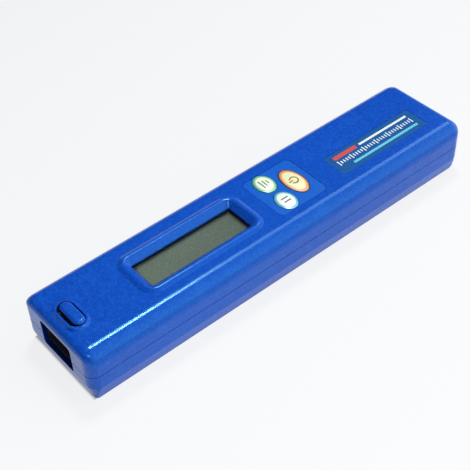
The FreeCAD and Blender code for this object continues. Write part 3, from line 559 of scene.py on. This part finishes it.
def reshape(node, name, body, move, low=False):
    """A copy that stands for a CAD node: each point where move puts it, and a low piece's ends drawn in."""
    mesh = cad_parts[node].data.copy()
    normals = [corner.vector.copy() for corner in mesh.corner_normals]
    flat = [face.index for face in mesh.polygons
            if all((normals[i] - face.normal).length < SAME_NORMAL for i in face.loop_indices)]
    for vert in mesh.vertices:
        place = move(*(vert.co / MM))
        if place:
            vert.co = Vector(place) * MM
    mesh.update()
    for face in (mesh.polygons[index] for index in flat):
        for i in face.loop_indices:
            if face.normal.dot(normals[i]) > SLIVER:
                normals[i] = face.normal.copy()
    mesh.normals_split_custom_set(normals)
    if low:
        draw_in_ends(mesh)
    piece = bpy.data.objects.new(name, mesh)
    bpy.context.collection.objects.link(piece)
    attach(piece, body)
    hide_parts(node)


def print_piece(name, body, material, quads, height):
    """Ink laid on a surface: flat quads in millimetres, lifted to height(x, y) with closed edges."""
    bm = bmesh.new()
    for corners in quads:
        bm.faces.new([bm.verts.new((x, y, 0)) for x, y in corners])
    bmesh.ops.remove_doubles(bm, verts=bm.verts, dist=WELD)
    bmesh.ops.recalc_face_normals(bm, faces=bm.faces)
    top = bmesh.ops.extrude_face_region(bm, geom=bm.faces[:])["geom"]
    raised = {v for v in top if isinstance(v, bmesh.types.BMVert)}
    for vert in bm.verts:
        lift = INK_RISE if vert in raised else -INK_RISE
        vert.co.z = height(vert.co.x, vert.co.y) + lift
    bmesh.ops.recalc_face_normals(bm, faces=bm.faces)
    bmesh.ops.scale(bm, vec=(MM, MM, MM), verts=bm.verts)
    mesh = bpy.data.meshes.new(name)
    bm.to_mesh(mesh)
    bm.free()
    mesh.materials.append(material)
    piece = bpy.data.objects.new(name, mesh)
    bpy.context.collection.objects.link(piece)
    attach(piece, body)


def bar(x0, x1, y0, y1, steps=1):
    """Quads that fill a rectangle, cut into steps along its longer side."""
    if x1 - x0 >= y1 - y0:
        cuts = [x0 + (x1 - x0) * i / steps for i in range(steps + 1)]
        return [((a, y0), (b, y0), (b, y1), (a, y1)) for a, b in zip(cuts, cuts[1:])]
    cuts = [y0 + (y1 - y0) * i / steps for i in range(steps + 1)]
    return [((x0, a), (x1, a), (x1, b), (x0, b)) for a, b in zip(cuts, cuts[1:])]


def ring_quads(inner, outer, start_deg, end_deg, steps=36):
    """Quads that fill part of a flat ring."""
    angles = [math.radians(start_deg + (end_deg - start_deg) * i / steps) for i in range(steps + 1)]

    def on(radius, angle):
        return radius * math.cos(angle), radius * math.sin(angle)

    return [(on(inner, a), on(outer, a), on(outer, b), on(inner, b)) for a, b in zip(angles, angles[1:])]


def crown_height(middle, half, top):
    """Height of a key's swollen top above the frame's floor, from its plan and its highest point."""
    radius = (half[0] ** 2 + KEY_CROWN ** 2) / (2 * KEY_CROWN)

    def height(x, y):
        reach = math.hypot(x - middle[0], (y - middle[1]) * half[0] / half[1])
        return top - radius + math.sqrt(radius ** 2 - reach ** 2)

    return height


def make_key(name, core, rim, outline, ink, marks):
    """A key's printed cap, and its sign as ink that follows the crown."""
    middle, half, top = middle_of(name)
    half = [h - KEY_FLANGE for h in half]
    dress(name, key_material(name + "_cap", middle, half, core, rim, outline))
    quads = [[(x + middle[0], y + middle[1]) for x, y in quad] for quad in marks]
    print_piece(name + "_sign", name, ink_material(name + "_ink", ink), quads,
                crown_height(middle, half, top))


def make_keys():
    """Generic signs: a broken ring with a stroke, three bars, and two uprights."""
    power = ring_quads(*POWER_RING, *POWER_ARC) + bar(*POWER_STROKE, steps=4)
    mode = [quad for x, reach in MODE_BARS
            for quad in bar(x - MODE_HALF_LINE, x + MODE_HALF_LINE, -reach, reach, steps=6)]
    hold = [quad for y in HOLD_BARS
            for quad in bar(-HOLD_REACH, HOLD_REACH, y - HOLD_HALF_LINE, y + HOLD_HALF_LINE, steps=4)]
    make_key("power_key", KEY_CREAM, KEY_ORANGE, KEY_BROWN, INK_BROWN, power)
    make_key("mode_key", KEY_WHITE, KEY_GREEN, KEY_GREEN, INK_GREEN, mode)
    make_key("hold_key", KEY_WHITE, KEY_CYAN, KEY_CYAN, INK_BLUE, hold)


def make_plate_marks():
    """A plain graduated scale and three coloured lines on the name plate, in place of any lettering."""
    low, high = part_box("name_plate")
    x0, x1 = low[0] / MM + PLATE_MARGIN, high[0] / MM - PLATE_MARGIN
    y_mid, top = (low[1] + high[1]) / 2 / MM, high[2] / MM
    length = x1 - x0
    ticks = []
    for i in range(int(length / PLATE_TICK_PITCH) + 1):
        x = x0 + i * PLATE_TICK_PITCH
        reach = PLATE_SHORT_TICK if i % PLATE_LONG_EVERY else PLATE_LONG_TICK
        ticks += bar(x - PLATE_LINE / 2, x + PLATE_LINE / 2, y_mid - reach / 2, y_mid + reach / 2)
    for name, (colour, start, end, near, far) in PLATE_ROWS.items():
        quads = bar(x0 + start * length, x0 + end * length, y_mid + near, y_mid + far)
        if name == "plate_white":
            quads = ticks + quads
        print_piece(name, "housing", ink_material(name + "_ink", colour), quads,
                    lambda x, y: top)


def aim_camera():
    azimuth, elevation, roll = (math.radians(a) for a in (CAMERA_AZIMUTH, CAMERA_ELEVATION, CAMERA_ROLL))
    back = Vector((math.sin(azimuth) * math.cos(elevation), -math.cos(azimuth) * math.cos(elevation),
                   math.sin(elevation)))
    level = Vector((math.cos(azimuth), math.sin(azimuth), 0))
    upright = back.cross(level)
    right = math.cos(roll) * level + math.sin(roll) * upright
    up = math.cos(roll) * upright - math.sin(roll) * level
    turn = Matrix((right, up, back)).transposed().to_4x4()
    data = bpy.data.cameras.new("camera")
    data.lens = CAMERA_LENS
    data.sensor_width = SENSOR_WIDTH
    data.clip_start = NEAREST_SEEN * MM
    camera = bpy.data.objects.new("camera", data)
    place = Vector(CAMERA_TARGET) * MM + back * CAMERA_DISTANCE * MM
    camera.matrix_world = Matrix.Translation(place) @ turn
    bpy.context.collection.objects.link(camera)
    bpy.context.scene.camera = camera


def area_light(name, place, target, size, power):
    data = bpy.data.lights.new(name, "AREA")
    data.shape = "RECTANGLE"
    data.size, data.size_y = size
    data.energy = power
    light = bpy.data.objects.new(name, data)
    light.location = place
    light.rotation_euler = (Vector(target) - Vector(place)).to_track_quat("-Z", "Y").to_euler()
    bpy.context.collection.objects.link(light)


def seen_or_mirrored(n):
    """1 for rays from the camera and for those that mirror or pass through something."""
    path = n.add("LightPath")
    mirrored = n.math("MAXIMUM", path.outputs["Is Glossy Ray"], path.outputs["Is Transmission Ray"])
    return n.math("MAXIMUM", path.outputs["Is Camera Ray"], mirrored)


def make_floor():
    """A pale sheet that glows where it is seen, except under the object, and keeps the shadow; round the
    ends the glow's fade paints a soft contact shadow.
    """
    bm = bmesh.new()
    bmesh.ops.create_grid(bm, x_segments=1, y_segments=1, size=FLOOR_SIZE)
    mesh = bpy.data.meshes.new("floor")
    bm.to_mesh(mesh)
    bm.free()
    floor = bpy.data.objects.new("floor", mesh)
    floor.location.z = -FLOOR_DROP
    bpy.context.collection.objects.link(floor)
    n = Nodes("floor_paper")
    n.set(Base_Color=n.mix(n.noise(300.0), FLOOR_PALE, FLOOR_DULL), Roughness=0.9)
    axes = n.axes()
    level = n.span(axes["Y"], FLOOR_NEAR, FLOOR_FAR, *FLOOR_DEPTH)
    glow = n.add("Emission", {"Color": FLOOR_WHITE, "Strength": level})
    beyond = []
    for axis, half, glow_fade in (("X", HALF_LENGTH, END_SHADOW_FADE), ("Y", HALF_WIDTH, SIDE_COVER)):
        away = n.math("ABSOLUTE", axes[axis])
        beyond.append(n.span(away, 0.0, 1.0, *((half - inset) * MM for inset in glow_fade)))
    # Painted contact shadow: at the ends the glow fades out just past the drawn-in foot
    bare = n.math("MULTIPLY", n.math("MAXIMUM", *beyond), FLOOR_GLOW)
    blend = n.add("MixShader", {"Fac": n.math("MULTIPLY", seen_or_mirrored(n), bare)})
    n.feed(blend.inputs[1], n.shader.outputs["BSDF"])
    n.feed(blend.inputs[2], glow.outputs["Emission"])
    n.feed(n.tree.nodes["Material Output"].inputs["Surface"], blend.outputs["Shader"])
    mesh.materials.append(n.block)


def make_sky():
    """Palest toward SKY_TOWARD, falling to grey away from it, with a pale band round the horizon."""
    n = Nodes("studio", "worlds", "Background")
    direction = n.add("TexCoord").outputs["Generated"]
    toward = n.add("VectorMath", {0: direction, 1: SKY_TOWARD}, operation="DOT_PRODUCT").outputs["Value"]
    height = n.add("SeparateXYZ", {"Vector": direction}).outputs["Z"]
    band = n.span(height, 1.0, 0.0, *HORIZON_BAND)
    n.set(Color=n.mix(band, n.ramp(toward, *SKY_STOPS), HORIZON))
    bpy.context.scene.world = n.block


def make_light():
    bpy.context.scene.view_settings.view_transform = "Standard"
    make_sky()
    for name, lamp in LAMPS.items():
        area_light(name, *lamp)


dress_nodes()
reshape("top_case", "top_case_shell", "housing", softer_edge)
reshape("bottom_case", "bottom_case_shell", "housing", steeper_keel, low=True)
reshape("battery_door", "battery_door_shell", "battery_door", steeper_keel, low=True)
make_keys()
make_plate_marks()
aim_camera()
make_floor()
make_light()
